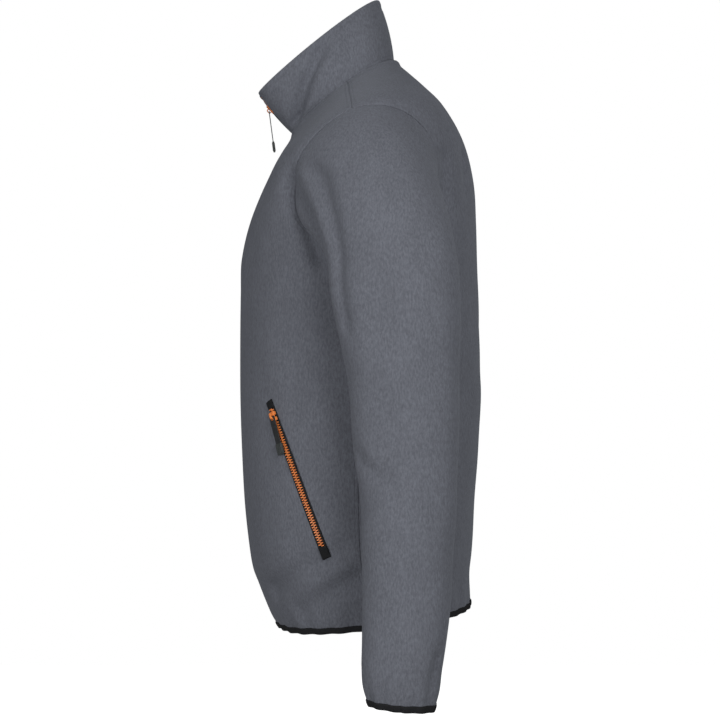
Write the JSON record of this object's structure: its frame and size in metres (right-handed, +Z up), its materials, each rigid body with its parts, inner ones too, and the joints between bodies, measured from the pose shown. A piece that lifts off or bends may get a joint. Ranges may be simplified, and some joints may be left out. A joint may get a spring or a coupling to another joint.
{
  "type": "fleece zip jacket",
  "caption": "Dark blue-grey fleece jacket with stand-up collar, full front zip and slanted zipped hand pockets, filled out in wearing shape.",
  "frame": {"origin": "midway between the two points where the shoulder seams meet the neck seam, where the wearer's shoulders hold it up", "axes": "+Z up, -Y out of the jacket's front, +X to the wearer's left"},
  "size_m": [0.642, 0.291, 0.8167],
  "materials": {
    "fleece": "brushed",
    "binding": "matte",
    "zip_tape": "matte",
    "zip_teeth": "satin",
    "slider": "satin",
    "pull": "matte",
    "grip": "matte"
  },
  "bodies": {
    "jacket": {"front_left": "fleece", "front_right": "fleece", "back": "fleece", "sleeve_left": "fleece", "sleeve_right": "fleece", "collar": "fleece", "hem_binding": "binding", "cuff_binding_left": "binding", "cuff_binding_right": "binding", "zip_tape_left": "zip_tape", "zip_tape_right": "zip_tape", "pocket_tape_left": "zip_tape", "pocket_tape_right": "zip_tape", "pocket_bar_top_left": "zip_tape", "pocket_bar_top_right": "zip_tape", "pocket_bar_bottom_left": "zip_tape", "pocket_bar_bottom_right": "zip_tape", "zip_teeth_left": "zip_teeth", "zip_teeth_right": "zip_teeth", "pocket_teeth_left": "zip_teeth", "pocket_teeth_right": "zip_teeth", "front_slider": "slider", "pocket_slider_left": "slider", "pocket_slider_right": "slider", "zip_box": "pull"},
    "front_pull": {"front_pull_tab": "pull", "front_pull_grip": "grip"},
    "pocket_pull_left": {"pocket_pull_left": "pull", "pocket_grip_left": "grip"},
    "pocket_pull_right": {"pocket_pull_right": "pull", "pocket_grip_right": "grip"}
  },
  "joints": [
    {"name": "front_pull_turn", "type": "hinge", "parent": "jacket", "child": "front_pull", "pos_m": [0.01495, -0.09718, -0.02939], "axis": [-0.9967, -0.0579, 0.0576], "range_deg": [-20, 130]},
    {"name": "pocket_pull_left_turn", "type": "hinge", "parent": "jacket", "child": "pocket_pull_left", "pos_m": [0.15683, -0.08783, -0.39593], "axis": [-0.6881, -0.652, -0.3183], "range_deg": [0, 165]},
    {"name": "pocket_pull_right_turn", "type": "hinge", "parent": "jacket", "child": "pocket_pull_right", "pos_m": [-0.15683, -0.08783, -0.39593], "axis": [-0.6881, 0.652, 0.3183], "range_deg": [0, 165]}
  ]
}
